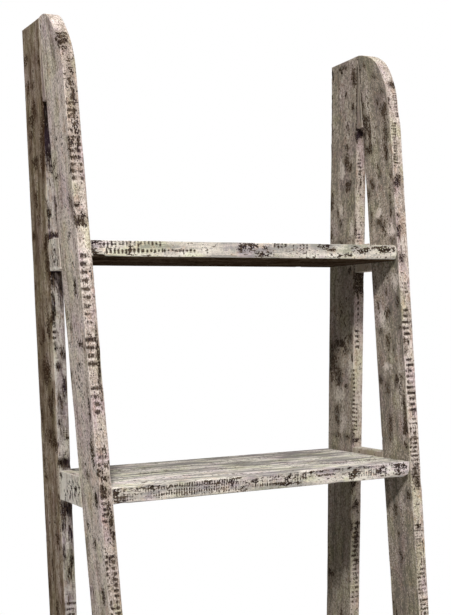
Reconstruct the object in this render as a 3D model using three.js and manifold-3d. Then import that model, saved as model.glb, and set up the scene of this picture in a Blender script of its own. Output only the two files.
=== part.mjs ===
// Ladder bookcase: two side frames of a plumb rear post and a leaning front post, joined by open shelves.
// Lengths are millimetres. +X runs to the viewer's right, +Y to the back, +Z up, and the floor is Z = 0.
// Every piece is drawn in the plane of a side frame: depth and height first, then the width across.

import * as THREE from 'three';
import { mergeVertices } from 'three/addons/utils/BufferGeometryUtils.js';
import Module from 'manifold-3d';

const wasm = await Module();
wasm.setup();

// Heights, from the floor up
const lowestShelfHeight = 265;
const shelfPitch = 362;
const headHeight = 329;
const shelfCount = 4;

// Boards
const clearWidth = 556;
const boardThickness = 22;
const rearPostWidth = 80;
const frontPostWidth = 78;
const shelfThickness = 26;
const arrisEase = 1.2;
const fitGap = 0.3;

// The front post leans by this angle, and its rounded top starts at the seam with a slope of its own
const leanDegrees = 7.75;
const browDegrees = 7.5;
const browSteps = 9;

// The rear post's top falls a little towards the back
const rearTopFall = 3;

// The wedge that closes the V between the posts, measured down from the top
const wedgeTopDrop = 16;
const wedgeBottomDrop = 125;

// Side rails stand proud of the shelf they carry
const railHeight = 48;
const railRise = 9;

// Dowels in the rail joints and in the head of each frame
const dowelRadius = 5;
const dowelChamfer = 1;
const dowelInPost = 25;
const dowelInRail = 15;
const headDowelLength = 64;
const headDowelDrops = [46, 98];
const dowelSides = 10;

// Countersunk screws through the posts into the shelf ends, set below the face and painted over
const screwLength = 55;
const screwCoreRadius = 2;
const screwHeadRadius = 4;
const screwHeadDepth = 3;
const screwRim = 0.4;
const screwTip = 5;
const screwSetDepth = 2;
const screwSides = 10;

// Holes run on by this much past what they hold, or past the face that they open in
const overrun = 1;

// Sizes worked out from the ones above
const lean = THREE.MathUtils.degToRad(leanDegrees);
const brow = THREE.MathUtils.degToRad(browDegrees);
const overallHeight = lowestShelfHeight + (shelfCount - 1) * shelfPitch + headHeight;
const frontPostRun = frontPostWidth / Math.cos(lean);
const footSpread = overallHeight * Math.tan(lean) + fitGap;
const overallDepth = rearPostWidth + footSpread + frontPostRun;
const browRadius = frontPostWidth / (1 - Math.sin(brow + lean));
const shelfTops = Array.from({ length: shelfCount }, (_, i) => lowestShelfHeight + i * shelfPitch).reverse();

// Depth of the front post's back face at a height: the seam with the rear post is at depth zero
const backOfFrontPost = (height) => -fitGap - (overallHeight - height) * Math.tan(lean);
const frontOfFrontPost = (height) => backOfFrontPost(height) - frontPostRun;

// Finishes
const paint = (color, roughness) => new THREE.MeshStandardMaterial({ color, roughness, metalness: 0 });
const wornWhitewash = paint(0x9f968a, 0.85);
const brownWash = paint(0x706252, 0.88);
const paleWash = paint(0xb5aa9c, 0.82);
const bareDowel = paint(0xc9a877, 0.7);
const zincScrew = new THREE.MeshStandardMaterial({ color: 0xa8a9a6, roughness: 0.4, metalness: 0.9 });

// A closed solid from a geometry with its shared vertices merged, and the way back
function solidFrom(geometry) {
  geometry.deleteAttribute('normal');
  geometry.deleteAttribute('uv');
  const merged = mergeVertices(geometry);
  return new wasm.Manifold(new wasm.Mesh({
    numProp: 3,
    vertProperties: new Float32Array(merged.attributes.position.array),
    triVerts: new Uint32Array(merged.index.array),
  }));
}

function geometryFrom(solid) {
  const mesh = solid.getMesh();
  const geometry = new THREE.BufferGeometry();
  geometry.setAttribute('position', new THREE.BufferAttribute(mesh.vertProperties, mesh.numProp));
  geometry.setIndex(new THREE.BufferAttribute(mesh.triVerts, 1));
  geometry.computeVertexNormals();
  return geometry;
}

// A board sawn to an outline of [depth, height] corners, with its arrises eased on both faces
function board(shape, thickness, ease) {
  return new THREE.ExtrudeGeometry(shape, {
    depth: thickness - 2 * ease,
    bevelEnabled: true,
    bevelThickness: ease,
    bevelSize: ease,
    bevelOffset: -ease,
    bevelSegments: 1,
    curveSegments: browSteps,
  }).translate(0, 0, ease);
}

const outline = (corners) => new THREE.Shape(corners.map(([depth, height]) => new THREE.Vector2(depth, height)));

// A turned piece along the line from start to end: radii are given at distances from start
function turned(start, end, profile, sides) {
  const axis = new THREE.Vector3().subVectors(end, start).normalize();
  const geometry = new THREE.LatheGeometry(profile.map(([radius, along]) => new THREE.Vector2(radius, along)), sides);
  const turn = new THREE.Quaternion().setFromUnitVectors(new THREE.Vector3(0, 1, 0), axis);
  return geometry.applyQuaternion(turn).translate(start.x, start.y, start.z);
}

function rod(start, end, radius, chamfer, sides) {
  const length = start.distanceTo(end);
  const profile = [[0, 0], [radius - chamfer, 0], [radius, chamfer]];
  profile.push([radius, length - chamfer], [radius - chamfer, length], [0, length]);
  return turned(start, end, profile, sides);
}

// Rear post: plumb, with a top that falls towards the back
function rearPostShape() {
  const top = overallHeight;
  return outline([[0, 0], [rearPostWidth, 0], [rearPostWidth, top - rearTopFall], [0, top]]);
}

// Front post: leaning, level at the foot, and rounded from the seam at the top down to its front face
function frontPostShape() {
  const centreDepth = backOfFrontPost(overallHeight) + browRadius * Math.sin(brow);
  const centreHeight = overallHeight - browRadius * Math.cos(brow);
  const shape = new THREE.Shape();
  shape.moveTo(backOfFrontPost(0), 0);
  shape.lineTo(backOfFrontPost(overallHeight), overallHeight);
  shape.absarc(centreDepth, centreHeight, browRadius, Math.PI / 2 + brow, Math.PI - lean, false);
  shape.lineTo(frontOfFrontPost(0), 0);
  shape.closePath();
  return shape;
}

// A piece let in between the posts, with a plumb back end and a front end cut to the lean
function betweenPosts(bottom, top) {
  const gapAlongLean = fitGap / Math.cos(lean);
  const front = (height) => backOfFrontPost(height) + gapAlongLean;
  return outline([[-fitGap, bottom], [-fitGap, top], [front(top), top], [front(bottom), bottom]]);
}

// The dowel of a rail's joint starts in the rail and runs into a post, square to the joint
function jointDowel(shelfTop, toRear) {
  const height = shelfTop + railRise - railHeight / 2;
  const way = toRear
    ? new THREE.Vector3(1, 0, 0)
    : new THREE.Vector3(-Math.cos(lean), Math.sin(lean), 0);
  const joint = new THREE.Vector3(toRear ? 0 : backOfFrontPost(height), height, boardThickness / 2);
  return {
    name: toRear ? 'rear_dowel' : 'front_dowel',
    start: joint.clone().addScaledVector(way, -dowelInRail),
    end: joint.clone().addScaledVector(way, dowelInPost),
  };
}

const railDowels = shelfTops.flatMap((top, i) =>
  [true, false].map((toRear) => ({ ...jointDowel(top, toRear), piece: `rail_${i + 1}` })));

const headDowels = headDowelDrops.map((drop, i) => {
  const height = overallHeight - drop;
  const middle = backOfFrontPost(height) / 2;
  const half = headDowelLength / 2;
  return {
    name: `dowel_${i + 1}`,
    piece: 'head',
    start: new THREE.Vector3(middle - half, height, boardThickness / 2),
    end: new THREE.Vector3(middle + half, height, boardThickness / 2),
  };
});

const dowels = [...railDowels, ...headDowels];

// Every shelf end takes one screw through the middle of each post
const screws = shelfTops.flatMap((top, i) => {
  const height = top - shelfThickness / 2;
  const frontMiddle = (backOfFrontPost(height) + frontOfFrontPost(height)) / 2;
  return [
    { name: `shelf_${i + 1}_rear_screw`, depth: rearPostWidth / 2, height },
    { name: `shelf_${i + 1}_front_screw`, depth: frontMiddle, height },
  ];
});

// A screw or its hole, driven from the frame's outer face towards the shelf
function driven(place, outerFace, inward, from, profile) {
  const start = new THREE.Vector3(place.depth, place.height, outerFace + inward * from);
  const end = start.clone().add(new THREE.Vector3(0, 0, inward));
  return turned(start, end, profile, screwSides);
}

function screw(place, outerFace, inward) {
  return driven(place, outerFace, inward, screwSetDepth, [
    [0, 0],
    [screwHeadRadius, 0],
    [screwHeadRadius, screwRim],
    [screwCoreRadius, screwHeadDepth],
    [screwCoreRadius, screwLength - screwTip],
    [0, screwLength],
  ]);
}

function screwHole(place, outerFace, inward) {
  const mouth = screwHeadRadius + fitGap;
  const shank = screwCoreRadius + fitGap;
  const seat = overrun + screwSetDepth + screwRim;
  const neck = overrun + screwSetDepth + screwHeadDepth + fitGap;
  const end = overrun + screwSetDepth + screwLength + overrun;
  const profile = [[0, 0], [mouth, 0], [mouth, seat], [shank, neck], [shank, end], [0, end]];
  return driven(place, outerFace, inward, -overrun, profile);
}

function dowelHole({ start, end }) {
  const reach = new THREE.Vector3().subVectors(end, start).setLength(overrun);
  return rod(start.clone().sub(reach), end.clone().add(reach), dowelRadius + fitGap, dowelChamfer, dowelSides);
}

// A board with its holes bored
function bored(geometry, holes) {
  const solid = holes.reduce((rest, hole) => rest.subtract(solidFrom(hole)), solidFrom(geometry));
  return geometryFrom(solid);
}

function named(name, geometry, material) {
  const mesh = new THREE.Mesh(geometry, material);
  mesh.name = name;
  return mesh;
}

// A side frame in its own plane: the outer face is at zero or at the board's thickness
function sideFrame(side, rearFinish) {
  const frame = new THREE.Group();
  const left = side === 'left';
  const outerFace = left ? 0 : boardThickness;
  const inward = left ? 1 : -1;
  const piece = (name, geometry, material) => frame.add(named(`${side}_${name}`, geometry, material));
  const dowelHoles = () => dowels.map(dowelHole);
  const allHoles = () => [...dowelHoles(), ...screws.map((place) => screwHole(place, outerFace, inward))];

  piece('rear_post', bored(board(rearPostShape(), boardThickness, arrisEase), allHoles()), rearFinish);
  piece('front_post', bored(board(frontPostShape(), boardThickness, arrisEase), allHoles()), wornWhitewash);
  const wedgeShape = betweenPosts(overallHeight - wedgeBottomDrop, overallHeight - wedgeTopDrop);
  piece('top_wedge', bored(board(wedgeShape, boardThickness, fitGap), dowelHoles()), wornWhitewash);
  shelfTops.forEach((top, i) => {
    const railShape = betweenPosts(top + railRise - railHeight, top + railRise);
    piece(`rail_${i + 1}`, bored(board(railShape, boardThickness, arrisEase), dowelHoles()), paleWash);
  });

  dowels.forEach((dowel) => {
    const body = rod(dowel.start, dowel.end, dowelRadius, dowelChamfer, dowelSides);
    piece(`${dowel.piece}_${dowel.name}`, body, bareDowel);
  });
  screws.forEach((place) => piece(place.name, screw(place, outerFace, inward), zincScrew));
  frame.position.z = left ? -clearWidth / 2 - boardThickness : clearWidth / 2;
  return frame;
}

// A shelf board between the frames: flush with the rear posts' backs and the front posts' faces
function shelfShape(top) {
  const bottom = top - shelfThickness;
  const front = frontOfFrontPost(top);
  const back = rearPostWidth;
  return outline([
    [front + arrisEase, bottom],
    [back - arrisEase, bottom],
    [back, bottom + arrisEase],
    [back, top - arrisEase],
    [back - arrisEase, top],
    [front + arrisEase, top],
    [front, top - arrisEase],
    [front, bottom + arrisEase],
  ]);
}

function shelf(index) {
  const length = clearWidth - 2 * fitGap;
  const geometry = board(shelfShape(shelfTops[index]), length, arrisEase).translate(0, 0, -length / 2);
  const leftOuter = -clearWidth / 2 - boardThickness;
  const holes = screws.flatMap((place) => [screwHole(place, leftOuter, 1), screwHole(place, -leftOuter, -1)]);
  return named(`shelf_${index + 1}`, bored(geometry, holes), paleWash);
}

// Depth, height and width become Y, Z and X, with the floor under the middle as the origin
const bookcase = new THREE.Group();
const axes = new THREE.Matrix4().makeBasis(
  new THREE.Vector3(0, 1, 0),
  new THREE.Vector3(0, 0, 1),
  new THREE.Vector3(1, 0, 0),
);
const upright = new THREE.Group();
upright.quaternion.setFromRotationMatrix(axes);
upright.position.y = overallDepth / 2 - rearPostWidth;
upright.add(sideFrame('left', brownWash));
upright.add(sideFrame('right', wornWhitewash));
shelfTops.forEach((_, i) => upright.add(shelf(i)));
bookcase.add(upright);

export default bookcase;
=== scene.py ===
"""Ladder bookcase: worn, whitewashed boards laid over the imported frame.

The boards are worked out in millimetres and turned into metres when a mesh is written. The stage is in metres
throughout. +X runs to the viewer's right, +Y to the back and +Z up. Every board is worked out in its own
directions first: length along the grain, width across it, and thickness. Each function's docstring gives its
formula in words.
"""

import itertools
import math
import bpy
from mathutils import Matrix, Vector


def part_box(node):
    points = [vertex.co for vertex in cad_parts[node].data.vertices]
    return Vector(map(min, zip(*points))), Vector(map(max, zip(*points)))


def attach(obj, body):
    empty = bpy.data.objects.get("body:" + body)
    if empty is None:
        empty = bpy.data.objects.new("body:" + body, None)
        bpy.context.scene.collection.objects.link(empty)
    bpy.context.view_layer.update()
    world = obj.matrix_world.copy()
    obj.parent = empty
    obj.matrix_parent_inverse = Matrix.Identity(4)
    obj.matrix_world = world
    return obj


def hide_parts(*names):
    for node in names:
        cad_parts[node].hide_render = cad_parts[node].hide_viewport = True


bl_info = {
    "name": "Ladder bookcase",
    "version": (1, 0, 0),
    "blender": (4, 5, 0),
    "location": "3D View > Sidebar > Bookcase",
    "description": "Builds the boards, paint and stage of a ladder bookcase around its packed frame",
    "category": "Object",
}

import bpy
import numpy as np
from bpy.props import FloatProperty, FloatVectorProperty, PointerProperty
from mathutils import Matrix, Vector

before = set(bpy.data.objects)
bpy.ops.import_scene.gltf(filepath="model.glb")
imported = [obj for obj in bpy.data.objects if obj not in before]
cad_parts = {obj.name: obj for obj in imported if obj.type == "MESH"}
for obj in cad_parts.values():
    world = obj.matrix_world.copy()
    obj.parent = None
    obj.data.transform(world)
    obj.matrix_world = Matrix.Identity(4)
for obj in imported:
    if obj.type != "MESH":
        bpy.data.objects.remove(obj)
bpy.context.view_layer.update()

MM = 0.001
SIDES = {"left": -1, "right": 1}
SHELVES = (1, 2, 3, 4)


def box_mm(node):
    """The lowest and highest corner of a CAD node in millimetres."""
    low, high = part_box(node)
    return np.array(low) / MM, np.array(high) / MM


POST_LOW, POST_HIGH = box_mm("right_rear_post")
FRONT_LOW, FRONT_HIGH = box_mm("right_front_post")
INNER_X, OUTER_X = POST_LOW[0], POST_HIGH[0]
SEAM_Y, BACK_Y = POST_LOW[1], POST_HIGH[1]
HEIGHT = POST_HIGH[2]
THICK = OUTER_X - INNER_X

# A front post leans back by LEAN, an angle that the slanted ends of its rails share, and measures FRONT_RUN
# along the floor. Its head is an arc from the front edge to the seam between the posts, BROW before the arc's
# top. Lines across the head end on the arc up to the angle HEAD_SPLIT; the last one is bent onto the rest.
FRONT_WIDTH = 78
LEAN = math.radians(7.75)
FRONT_RUN = FRONT_WIDTH / math.cos(LEAN)
FOOT_BACK_Y = FRONT_LOW[1] + FRONT_RUN
BROW = math.radians(7.5)
BROW_RADIUS = FRONT_WIDTH / (1 - math.sin(BROW + LEAN))
HEAD_SPLIT = math.radians(136)

# Where hand work departs from the frame. By side: the fall of a rear post's top to the back, and how much
# higher a wedge ends. The left head is lifted over a reach forwards of the seam. The right head drops, with
# its brow drawn back. FIT is the gap at each end of a wedge or a rail.
REAR_FALL = {-1: 0.5, 1: 3.0}
WEDGE_SHORT = {-1: 6.0, 1: 0.0}
HEAD_LIFT = 5.8
HEAD_REACH = 62
HEAD_DROP = 5.5
BROW_BACK = 6.0
FIT = 0.3

# Below this height the posts are not in the picture, and random wear joins what the tables list
SEEN_ABOVE = 800

# Steps from an arris inwards, at full size on a board at least FULL_SIZE across
ARRIS_STEPS = np.array([0, 0.5, 1.2, 2.4, 4.5])
FULL_SIZE = 18

# Extra stations stand MARK_SIDE to each side of a saw mark, and even ones keep MARK_CLEAR away from them
MARK_SIDE = 1.2
MARK_CLEAR = 0.8
END_CLEAR = 3
LEAST_GAP = 0.35

# Random wear: one patch for each such area of a face, and for each such length of an edge
FACE_PER_PATCH = 4200
EDGE_PER_PATCH = 65

# Saw marks go EDGE_DEPTH into an edge, mostly at USUAL_PITCH. A point without one counts as NO_MARK away
EDGE_DEPTH = 5
USUAL_PITCH = 9
NO_MARK = 6.0
KERF_REACH = 3
KERF_WIDTH = 1.6

# Marks wander by a share of the pitch, and stop short of their row's two sides by up to a share of its reach
MARK_WANDER = 0.08
MARK_TRIM = 0.22

# How far a patch reaches along, in half lengths, and through a board, and how far noise moves its outline
PATCH_REACH = 2.6
PATCH_THROUGH = 3.5
RAG_ALONG = 16
RAG_ACROSS = 8

# An arris is rounded by its least radius and up to this much more
ARRIS_RADIUS = 0.9
ARRIS_WANDER = 1.5

# Some strong dark patches paint shade and shadow, where they are marked below.
# Wear of each board: patches of bare stain and of thick paint, and rows of saw marks.
# A patch is place along the grain, place across the face, half length, half width, strength.
# A strength below zero is thick pale paint. Places along a post are heights from the floor.
# A row of saw marks is from, to, pitch, reach across the edge from one side to the other, strength.
PATCHES = {
    ("left_front_post", "face"): [
        (1652, 6, 5, 6, 1.09), (1640, 3, 5, 5, 1.01), (1482, 4, 14, 4, 0.67), (1502, 50, 5, 4, 0.59),
        (1466, 68, 6, 8, 0.5), (1450, 3, 7, 3, 0.67), (1446, 62, 7, 10, 0.5), (1403, 14, 12, 9, 0.76),
        (1384, 3, 8, 4, 0.84), (1358, 30, 6, 6, 0.42), (1306, 11, 17, 3, 0.59), (1281, 27, 12, 4, 0.8),
        (1246, 68, 7, 7, 0.5), (1225, 57, 7, 5, 0.5), (1200, 18, 6, 15, 0.67), (1170, 36, 5, 4, 0.5),
        (1158, 75, 10, 4, 0.67), (1143, 40, 5, 3, 0.5), (1106, 12, 28, 3, 0.71), (1050, 15, 14, 6, 0.59),
        (1033, 14, 7, 4, 0.59), (1004, 42, 8, 9, 0.59), (972, 15, 14, 7, 0.92), (970, 74, 10, 4, 0.67),
        (930, 62, 9, 3, 0.63), (900, 38, 8, 8, 0.59), (824, 20, 13, 6, 0.84), (820, 62, 12, 2.5, 0.59),
        (1330, 25, 16, 10, -0.6), (950, 22, 12, 12, -0.7), (880, 52, 22, 14, -0.5), (1195, 72, 22, 5, -0.6),
        # Painted shadow: (1450, 78.5, ...) and (1390, 78.5, ...) darken the back arris where it stands before
        # the rear post
        (1560, 22, 60, 7, -0.35), (1450, 78.5, 40, 1.8, 1.34), (1390, 78.5, 34, 1.8, 1.34),
    ],
    ("left_front_post", "front"): [
        (1610, 11, 90, 18, 0.22), (1450, 11, 60, 18, 0.12), (1000, 11, 170, 18, 0.13),
        (680, 11, 170, 18, 0.1), (1668, 7, 3, 12, 1.6), (1658, 6, 3.5, 9, 1.5), (1646, 8, 3.5, 12, 1.5),
        (1634, 5, 3, 6, 1.0), (1520, 9, 110, 14, 0.08), (880, 10, 70, 14, 0.12), (1553, 15, 3, 3, 1.0),
        (1488, 3, 4, 4, 0.9), (1480, 15, 15, 2.0, 0.7), (1403, 4, 3, 5, 1.0), (1376, 8, 5, 9, 1.3),
        (1386, 12, 5, 6, 0.7), (1300, 17, 20, 1.5, 0.6), (1215, 17, 18, 1.6, 0.8), (1162, 17.5, 30, 2.2, 1.4),
        (1208, 8, 4, 8, 0.7), (1014, 3, 6, 4, 1.4), (1005, 13, 4, 5, 1.2), (990, 6, 4, 6, 1.4),
        (978, 9, 5, 10, 0.8), (945, 14.5, 20, 3, 1.1), (915, 17, 10, 2.5, 0.9), (881, 9, 5, 8, 0.6),
        (1340, 8, 12, 9, -0.6), (1090, 10, 30, 9, -0.4), (1005, 7, 7, 3, -1.2), (905, 8, 14, 7, -0.5),
    ],
    ("right_front_post", "reverse"): [
        (1665, 60, 5, 5, 0.8), (1655, 75, 7, 3, 0.8), (1640, 28, 4, 8, 0.7), (1610, 14, 12, 5, 0.75),
        (1574, 14, 9, 7, 1.15), (1590, 29, 6, 6, 0.7), (1540, 13, 16, 6, 0.95), (1502, 15, 13, 5, 1.0),
        (1590, 74, 8, 6, 0.8), (1560, 70, 14, 8, 1.1), (1538, 60, 14, 1.6, 0.95), (1538, 76, 14, 3, 0.95),
        (1514, 66, 9, 10, 1.25), (1535, 38, 18, 1.6, 0.95), (1474, 39, 10, 4, 1.05), (1472, 8, 8, 3, 0.8),
        (1457, 61, 8, 5, 1.1), (1444, 72, 8, 4, 0.8), (1430, 12, 10, 3, 0.7), (1410, 12, 12, 3, 0.7),
        (1392, 47, 5, 9, 1.1), (1385, 37, 6, 3, 1.0), (1405, 69, 14, 2.5, 0.9), (1360, 14, 5, 6, 0.8),
        (1258, 9, 8, 5, 1.05), (1278, 40, 6, 3, 0.7), (1244, 35, 7, 4, 1.1), (1234, 42, 7, 4, 1.15),
        (1256, 66, 7, 3, 0.7), (1208, 63, 5, 5, 1.15), (1216, 8, 4, 5, 0.8), (1190, 42, 12, 5, 0.9),
        (1178, 26, 8, 3, 0.8), (1124, 26, 8, 4, 1.5), (1132, 12, 6, 4, 0.8), (1124, 70, 6, 7, 0.9),
        (1108, 53, 12, 6, 0.75), (1076, 8, 26, 4, 1.0), (1052, 50, 14, 5, 0.9), (1040, 8, 8, 5, 1.2),
        (1028, 52, 8, 3, 1.0), (1012, 10, 6, 6, 0.85), (928, 12, 9, 5, 0.95), (900, 50, 14, 5, 0.8),
        (860, 46, 8, 3, 0.75), (815, 44, 18, 3, 0.95), (1292, 12, 16, 11, -1.3), (1232, 56, 18, 10, -1.3),
        (1408, 47, 9, 10, -1.7), (1378, 14, 9, 11, -1.5), (1147, 48, 6, 12, -1.4), (1092, 28, 26, 5, -0.5),
        (908, 24, 12, 14, -0.6), (1436, 44, 12, 4, -0.6), (1640, 77, 30, 1.8, 1.0), (1590, 77, 14, 1.8, 0.9),
    ],
    ("right_front_post", "front"): [
        (1455, 13, 10, 7, 1.15), (1442, 20, 6, 2, 0.6), (1372, 18, 10, 4.5, 1.15), (1383, 14, 3, 7, 0.6),
        (1330, 14, 6, 7, 1.0), (1485, 18, 9, 2.5, 0.55), (1400, 17, 4, 5, 0.45), (1192, 16, 6, 6, 0.95),
        (1178, 17, 5, 5, 0.85), (965, 17, 9, 6, 0.5), (957, 7, 12, 6, 0.6), (880, 12, 4, 3, 0.7),
        (1590, 20, 14, 3, 0.5), (1624, 8, 8, 7, 1.2), (1648, 8, 12, 8, -0.6), (1350, 10, 12, 9, -0.7),
        (1186, 6, 6, 5, -0.9), (1120, 11, 90, 16, -0.45), (860, 11, 70, 16, -0.3), (1300, 11, 20, 9, -0.4),
        (920, 11, 14, 9, -0.4), (1060, 12, 12, 9, -0.4),
    ],
    ("right_rear_post", "reverse"): [
        (1668, 48, 3, 14, 1.1), (1662, 77, 8, 3, 0.9), (1650, 12, 11, 4, 1.05), (1640, 8, 8, 3, 0.9),
        (1592, 13, 5, 3, 1.1), (1618, 34, 6, 3, 0.8), (1560, 26, 4, 8, 0.6), (1550, 2, 8, 3, 1.1),
        (1530, 30, 5, 7, 0.7), (1504, 31, 11, 6, 1.5), (1490, 18, 6, 5, 0.8), (1462, 23, 6, 7, 1.6),
        (1440, 74, 14, 5, 0.95), (1418, 54, 9, 2, 1.0), (1398, 46, 6, 3, 1.2), (1388, 76, 10, 3, 0.8),
        (1368, 40, 2.5, 30, 0.8), (1318, 17, 4, 4, 1.2), (1198, 12, 7, 7, 1.3), (1188, 46, 5, 16, 1.0),
        (1172, 24, 9, 8, 0.9), (1160, 4, 8, 4, 0.9), (1125, 46, 16, 10, 0.9), (1108, 22, 5, 5, 1.1),
        (1062, 52, 10, 7, 1.0), (1045, 48, 8, 6, 1.0), (1020, 50, 5, 14, 0.7), (1014, 18, 5, 10, 0.8),
        (1590, 79, 80, 2, 0.95), (1620, 0.5, 50, 1.5, 1.0), (1560, 0.5, 30, 1.5, 1.0), (1150, 72, 32, 4, 0.9),
        # Painted shade: (1250, 40, 70, 26, 0.12) darkens this inner face where it lies in the shade under
        # shelf 1
        (1250, 40, 70, 26, 0.12), (1150, 62, 30, 14, 0.5), (1500, 46, 10, 5, -1.8), (1486, 42, 9, 6, -1.6),
        (1425, 44, 14, 6, -1.5), (1620, 50, 14, 3, -1.3), (1148, 8, 22, 9, -1.2), (1092, 42, 18, 18, -1.2),
        (1042, 30, 20, 12, -1.2), (1388, 12, 20, 9, -1.1), (1648, 1, 20, 2, 1.2), (1600, 1, 26, 1.8, 1.0),
    ],
    ("right_rear_post", "front"): [
        # Painted shade: (1546, 15, 6, 10, 3.0) darkens the slot under the wedge, and (1300, 11, 20, 14, 1.9)
        # is the
        # shadow under shelf 1 and its rail
        (1546, 15, 6, 10, 3.0), (1300, 11, 20, 14, 1.9), (1462, 20, 18, 1.5, 0.9), (1458, 12, 20, 1.5, 0.9),
        (1462, 5, 16, 1.3, 0.7), (1390, 21, 14, 2, 0.9), (1022, 20, 12, 3, 1.1), (1009, 12, 4, 9, 1.5),
        (928, 18, 9, 6, 1.3), (884, 16, 7, 5, 1.2), (888, 8, 9, 4, 1.1), (850, 20, 14, 3, 1.0),
        (836, 8, 30, 3.5, 0.9), (1520, 17, 12, 6, -0.5), (1420, 16, 26, 4, -0.9), (1140, 11, 20, 9, -0.4),
    ],
    ("left_rear_post", "face"): [
        (1632, 69, 6, 8, 1.2), (1620, 8, 7, 5, 0.88), (1594, 47, 5, 8, 1.04), (1592, 64, 8, 5, 1.04),
        (1553, 42, 12, 10, 1.52), (1540, 58, 8, 10, 0.96), (1522, 56, 5, 14, 1.04), (1502, 66, 5, 5, 1.04),
        (1480, 12, 20, 6, 1.36), (1515, 6, 22, 7, 1.2), (1562, 1, 9, 5, 1.44), (1478, 44, 8, 9, 1.2),
        (1484, 60, 6, 6, 0.8), (1466, 10, 8, 6, 0.72), (1425, 50, 10, 9, 0.88), (1394, 40, 12, 7, 0.88),
        (1368, 68, 7, 10, 1.04), (1362, 3, 4, 8, 1.52), (1350, 14, 9, 9, 1.28), (1324, 10, 16, 7, 1.04),
        (1310, 2, 8, 5, 1.12), (1288, 6, 6, 5, 0.88), (1290, 76, 8, 4, 0.8), (1260, 20, 7, 4, 0.72),
        (1236, 4, 8, 5, 0.96), (1226, 18, 15, 6, 1.6), (1222, 66, 8, 5, 0.88), (1210, 46, 12, 7, 1.04),
        (1202, 60, 4, 7, 0.96), (1152, 34, 15, 11, 1.52), (1160, 50, 15, 11, 1.12), (1122, 12, 10, 6, 0.88),
        (1104, 24, 14, 9, 1.44), (1080, 70, 16, 5, 1.2), (1052, 30, 14, 18, 0.96), (1040, 10, 7, 10, 1.12),
        (982, 62, 6, 6, 0.96), (1010, 68, 26, 3, 0.64), (950, 4, 8, 4, 0.88), (928, 26, 14, 3, 0.72),
        (828, 52, 16, 3, 0.88), (880, 20, 12, 8, 0.72), (1288, 16, 14, 7, -1), (1165, 6, 18, 5, -0.9),
        (1655, 52, 12, 12, -0.5), (1250, 5, 16, 6, -1.4), (1430, 3, 14, 4, -1.1), (1385, 4, 10, 4, -1),
        (1640, 1, 40, 4, -1), (1200, 3, 14, 5, -1.5), (1165, 4, 22, 6, -1.5), (1080, 2, 34, 4, -1.2),
        (990, 2, 44, 4, -1.2), (880, 2, 60, 3, -1), (1530, 14, 12, 5, -0.5),
    ],
    ("left_rear_post", "front"): [
        # Painted shade: (1550, 11, 10, 16, 3.0) and (1515, 11, 32, 16, 2.6) darken the slot under the wedge
        # Painted shadow: (1410, 16, 60, 1.8, 0.7) is the front post's shadow line along this edge
        (1550, 11, 10, 16, 3.0), (1515, 11, 32, 16, 2.6), (1410, 16, 60, 1.8, 0.7), (1392, 2, 16, 2.5, 0.8),
        # Painted shadow under rail 1: (1309, 8, 5, 16, 2.6) here and (1280, 17, 30, 5, 0.9) on the next line
        (1366, 8, 3, 10, 1.8), (1309, 8, 5, 16, 2.6), (1292, 5, 10, 4, 1.6), (1256, 3, 18, 3.5, 1.8),
        (1280, 17, 30, 5, 0.9), (1182, 17, 7, 4, 1.4), (1196, 4, 6, 3, 0.9), (1164, 8, 6, 5, 0.9),
        (1150, 14, 6, 3, 0.8), (1126, 16, 14, 3, 1.3), (1106, 6, 14, 2, 1.1), (1102, 11, 10, 1.8, 0.9),
        (1076, 5, 5, 3, 1.0), (1050, 18, 4, 3, 1.3), (1062, 10, 8, 2, 0.7), (1010, 11, 7, 13, 2.0),
        # Painted shadow under rail 2: (930, 11, 12, 13, 1.2)
        (930, 11, 12, 13, 1.2), (902, 4, 9, 3, 1.4), (892, 17, 14, 3, 1.5), (858, 3, 20, 3, 1.3),
        (846, 16, 20, 4, 1.2), (820, 10, 12, 5, 0.9), (1340, 11, 8, 9, -0.5), (1272, 8, 12, 2, -1.0),
        (1225, 14, 20, 4, -0.6), (1160, 5, 14, 3, -0.7), (1034, 12, 14, 8, -0.8), (884, 10, 16, 4, -1.0),
    ],
    ("left_rail_1", "face"): [
        (12, 18, 4, 12, 0.52), (28, 14, 5, 9, 0.49), (38, 26, 3, 12, 0.45), (20, 30, 8, 4, 0.38),
        (25, 1, 30, 2, -2.2), (30, 41, 20, 6, -0.5), (22, 22, 4, 8, -0.7),
    ],
    ("left_rail_2", "face"): [
        (62, 30, 2.5, 14, 0.9), (50, 20, 2.5, 18, 0.95), (36, 26, 2.5, 18, 0.95), (22, 22, 3, 16, 0.9),
        (8, 30, 4, 14, 0.85), (92, 40, 5, 4, 1.0), (74, 10, 3, 8, 0.8), (80, 26, 9, 16, -1.1),
        (88, 5, 6, 4, -2.0), (44, 30, 3, 16, -0.9), (28, 18, 3, 14, -0.8), (60, 2, 50, 2, -1.0),
        (45, 24, 60, 34, -1.3),
    ],
    ("shelf_1", "front"): [
        (6, 3, 8, 3, 1.08), (3, 16, 4, 4, 0.9), (257, 8, 10, 7, 1.22), (274, 6, 6, 6, 0.99),
        (282, 17, 5, 4, 0.9), (292, 19, 5, 4, 0.99), (298, 8, 7, 4, 0.9), (304, 18, 4, 4, 0.99),
        (316, 6, 3, 4, 0.99), (62, 14, 5, 6, 0.9), (410, 4, 11, 4, 1.35), (424, 8, 8, 2.5, 0.81),
        (468, 5, 6, 4, 0.99), (486, 10, 9, 3.5, 1.08), (455, 17, 6, 2.5, 0.99), (532, 7, 13, 4, 1.35),
        (512, 5, 14, 1.6, 0.81), (205, 6, 2.5, 2, 0.72), (440, 19, 5, 1.5, 0.81), (7, 22, 8, 5, 2.34),
        (500, 12, 16, 7, -0.6), (440, 6, 14, 5, -0.9), (200, 12, 40, 9, -0.4), (380, 15, 60, 6, -0.3),
        (544, 14, 10, 6, -0.9), (30, 18, 26, 3, -0.6),
    ],
    ("shelf_2", "front"): [
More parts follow.
